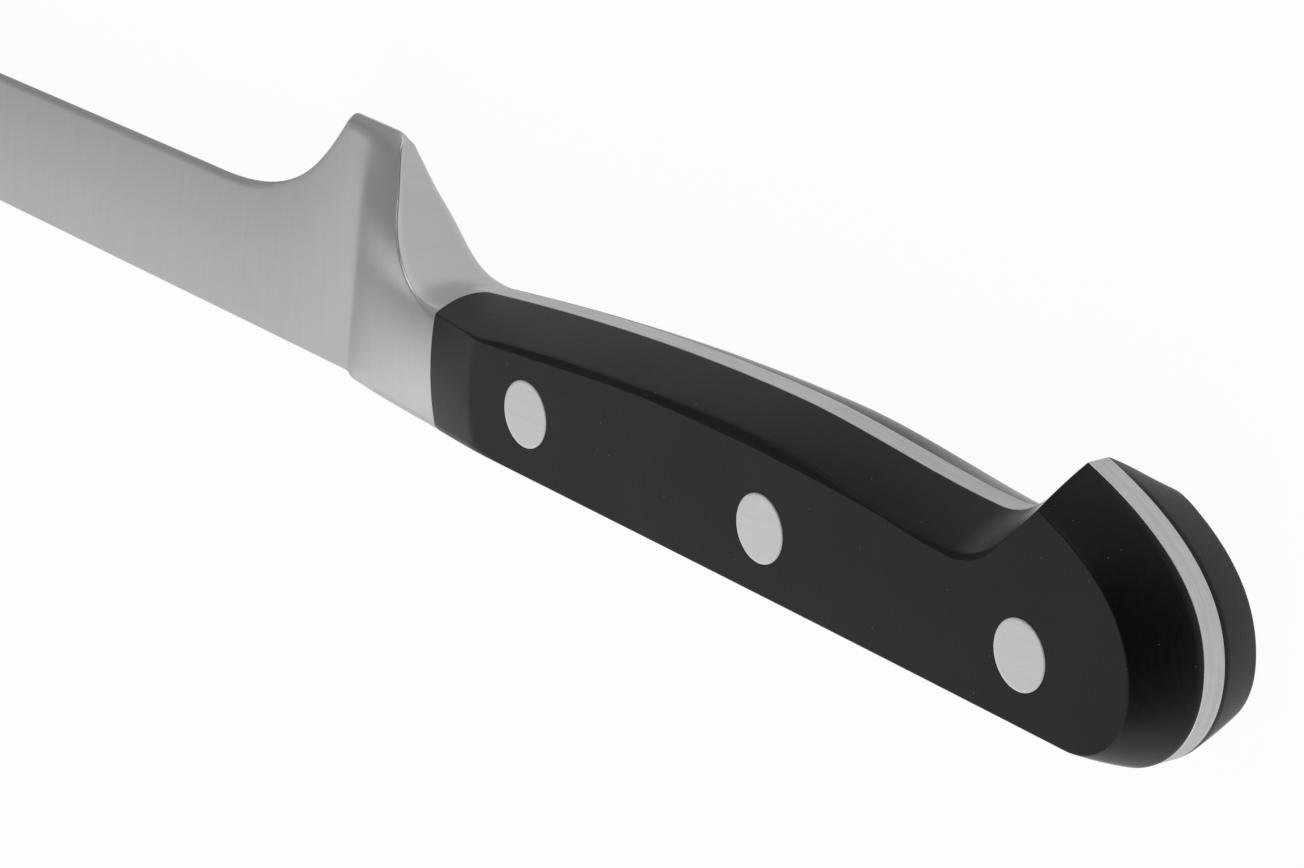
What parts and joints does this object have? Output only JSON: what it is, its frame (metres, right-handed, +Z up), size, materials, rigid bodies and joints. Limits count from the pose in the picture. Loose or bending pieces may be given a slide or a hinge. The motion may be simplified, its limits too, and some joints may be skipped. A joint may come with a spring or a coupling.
{
  "type": "fillet knife",
  "caption": "Slim fillet knife: forged blade, bolster, finger guard and full tang in one, with two riveted black scales that end in a hooked butt.",
  "frame": {"origin": "on the flat left side that the knife lies on, under the middle rivet's axis", "axes": "+X along the knife to the tip of the blade, +Y towards the blade's back (the cutting edge and guard point to -Y), +Z up through the handle from the left side to the right side"},
  "size_m": [0.3202, 0.0313, 0.0165],
  "materials": {
    "blade_steel": "fine satin ground across the blade, brighter towards the back",
    "rivet_steel": "heads ground flush with fine parallel brushing",
    "handle_black": "moulded black polymer, satin, with faint lines of polishing"
  },
  "bodies": {
    "root": {"blade": "blade_steel", "right_scale": "handle_black", "left_scale": "handle_black", "front_rivet_stud": "rivet_steel", "front_rivet_socket": "rivet_steel", "middle_rivet_stud": "rivet_steel", "middle_rivet_socket": "rivet_steel", "rear_rivet_stud": "rivet_steel", "rear_rivet_socket": "rivet_steel"}
  },
  "joints": []
}
